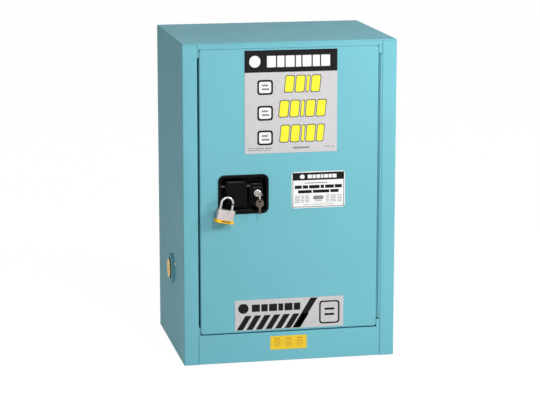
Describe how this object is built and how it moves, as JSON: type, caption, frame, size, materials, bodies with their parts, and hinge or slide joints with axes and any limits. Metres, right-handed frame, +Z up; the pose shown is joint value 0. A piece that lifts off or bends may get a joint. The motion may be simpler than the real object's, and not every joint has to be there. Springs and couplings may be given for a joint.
{
  "type": "safety storage cabinet",
  "caption": "Compact double-walled steel safety cabinet for acids or flammable liquids: one hinged door with a recessed paddle latch, padlock and key lock, shelf, trays and side vents.",
  "frame": {"origin": "middle of the base of the whole object's box, on the floor", "axes": "+Z up, the door faces -Y, +X is to the right seen from the front"},
  "size_m": [0.6126, 0.495, 0.889],
  "materials": {
    "blue_paint": "semi-gloss powder coat, turquoise blue",
    "zinc_steel": "zinc plated steel",
    "case_steel": "laminated steel plates, dull",
    "black_plastic": "black moulding with a glossy rim",
    "black_steel": "black enamel on steel",
    "chrome": "bright plate",
    "nickel": "dull nickel",
    "gold_zinc": "yellow zinc plate",
    "yellow_plastic": "moulded vinyl bumper",
    "white_plastic": "translucent white polyethylene",
    "grey_plate": "printed vinyl",
    "white_plate": "printed vinyl",
    "yellow_plate": "printed vinyl"
  },
  "bodies": {
    "cabinet": {"left_side_panel": "blue_paint", "right_side_panel": "blue_paint", "top_panel": "blue_paint", "top_rail": "blue_paint", "bottom_rail": "blue_paint", "back_panel": "blue_paint", "base_panel": "blue_paint", "inner_left_wall": "blue_paint", "inner_right_wall": "blue_paint", "inner_back_wall": "blue_paint", "inner_ceiling": "blue_paint", "sump_pan": "blue_paint", "front_left_shelf_clip": "zinc_steel", "front_right_shelf_clip": "zinc_steel", "rear_left_shelf_clip": "zinc_steel", "rear_right_shelf_clip": "zinc_steel", "left_vent_bushing": "blue_paint", "right_vent_bushing": "blue_paint", "left_flame_screen": "zinc_steel", "right_flame_screen": "zinc_steel", "ground_screw": "zinc_steel", "hinge_frame_leaf": "blue_paint", "hinge_pin": "zinc_steel", "sill_plate": "yellow_plate"},
    "door": {"door_skin": "blue_paint", "door_liner": "blue_paint", "hinge_door_leaf": "blue_paint", "handle_cup": "black_plastic", "paddle_spring": "zinc_steel", "lock_housing": "black_plastic", "lock_cylinder": "chrome", "rotor_post": "zinc_steel", "upper_rod_guide": "zinc_steel", "lower_rod_guide": "zinc_steel", "door_top_plate": "grey_plate", "door_side_plate": "white_plate", "door_low_plate": "grey_plate"},
    "paddle_handle": {"paddle": "black_plastic", "paddle_pin": "zinc_steel", "padlock_lug": "black_steel"},
    "hung_shackle": {"padlock_shackle": "chrome"},
    "padlock_case": {"padlock_body": "case_steel", "padlock_bumper": "yellow_plastic"},
    "lock_barrel": {"lock_plug": "chrome", "key": "nickel"},
    "hung_key": {"key_ring": "nickel", "spare_key": "nickel"},
    "rotor": {"latch_rotor": "zinc_steel"},
    "rod_up": {"upper_rod": "zinc_steel"},
    "rod_down": {"lower_rod": "zinc_steel"},
    "bolt": {"side_bolt": "zinc_steel"},
    "shelf_plate": {"shelf": "blue_paint"},
    "upper_tray": {"shelf_tray": "white_plastic"},
    "lower_tray": {"sump_tray": "white_plastic"},
    "left_plug": {"left_vent_plug": "gold_zinc"},
    "right_plug": {"right_vent_plug": "gold_zinc"},
    "foot_front_left": {"front_left_foot": "zinc_steel"},
    "foot_front_right": {"front_right_foot": "zinc_steel"},
    "foot_rear_left": {"rear_left_foot": "zinc_steel"},
    "foot_rear_right": {"rear_right_foot": "zinc_steel"}
  },
  "joints": [
    {"name": "door_hinge", "type": "hinge", "parent": "cabinet", "child": "door", "pos_m": [0.2511, -0.21033, 0.48], "axis": [0, 0, 1], "range_deg": [0, 170]},
    {"name": "paddle_pull", "type": "hinge", "parent": "door", "child": "paddle_handle", "pos_m": [-0.1489, -0.19973, 0.497], "axis": [-1, 0, 0], "range_deg": [0, 28], "stiffness_Nm_per_rad": 0.6, "springref_deg": -28.65},
    {"name": "padlock_swing", "type": "hinge", "parent": "paddle_handle", "child": "hung_shackle", "pos_m": [-0.162, -0.22723, 0.453], "axis": [0, 1, 0], "range_deg": [-30, 14]},
    {"name": "padlock_release", "type": "slide", "parent": "hung_shackle", "child": "padlock_case", "axis": [-0.2056, -0.0307, -0.9781], "range_m": [0, 0.009]},
    {"name": "lock_turn", "type": "hinge", "parent": "door", "child": "lock_barrel", "pos_m": [-0.09, -0.20573, 0.47695], "axis": [0, -1, 0], "range_deg": [0, 90]},
    {"name": "key_swing", "type": "hinge", "parent": "lock_barrel", "child": "hung_key", "pos_m": [-0.09, -0.23618, 0.47695], "axis": [-1, 0, 0], "range_deg": [-5, 24]},
    {"name": "rotor_turn", "type": "hinge", "parent": "door", "child": "rotor", "pos_m": [-0.217, -0.18473, 0.48995], "axis": [0, 1, 0], "range_deg": [0, 34]},
    {"name": "upper_rod_slide", "type": "slide", "parent": "door", "child": "rod_up", "axis": [0, 0, -1], "range_m": [0, 0.0086]},
    {"name": "lower_rod_slide", "type": "slide", "parent": "door", "child": "rod_down", "axis": [0, 0, 1], "range_m": [0, 0.0086]},
    {"name": "side_bolt_slide", "type": "slide", "parent": "door", "child": "bolt", "axis": [1, 0, 0], "range_m": [0, 0.0086]},
    {"name": "shelf_lift", "type": "slide", "parent": "cabinet", "child": "shelf_plate", "axis": [0, 0, 1], "range_m": [0, 0.06]},
    {"name": "shelf_tray_lift", "type": "slide", "parent": "shelf_plate", "child": "upper_tray", "axis": [0, 0, 1], "range_m": [0, 0.08]},
    {"name": "sump_tray_lift", "type": "slide", "parent": "cabinet", "child": "lower_tray", "axis": [0, 0, 1], "range_m": [0, 0.1]},
    {"name": "left_plug_out", "type": "slide", "parent": "cabinet", "child": "left_plug", "axis": [-1, 0, 0], "range_m": [0, 0.03]},
    {"name": "right_plug_out", "type": "slide", "parent": "cabinet", "child": "right_plug", "axis": [1, 0, 0], "range_m": [0, 0.03]},
    {"name": "front_left_foot_screw", "type": "slide", "parent": "cabinet", "child": "foot_front_left", "axis": [0, 0, -1], "range_m": [0, 0.019]},
    {"name": "front_right_foot_screw", "type": "slide", "parent": "cabinet", "child": "foot_front_right", "axis": [0, 0, -1], "range_m": [0, 0.019]},
    {"name": "rear_left_foot_screw", "type": "slide", "parent": "cabinet", "child": "foot_rear_left", "axis": [0, 0, -1], "range_m": [0, 0.019]},
    {"name": "rear_right_foot_screw", "type": "slide", "parent": "cabinet", "child": "foot_rear_right", "axis": [0, 0, -1], "range_m": [0, 0.019]}
  ],
  "couplings": [
    {"joint": "rotor_turn", "follows": "paddle_pull", "ratio": 1.2},
    {"joint": "upper_rod_slide", "follows": "paddle_pull", "m_per_rad": 0.0172},
    {"joint": "lower_rod_slide", "follows": "paddle_pull", "m_per_rad": 0.0172},
    {"joint": "side_bolt_slide", "follows": "paddle_pull", "m_per_rad": 0.0172}
  ]
}
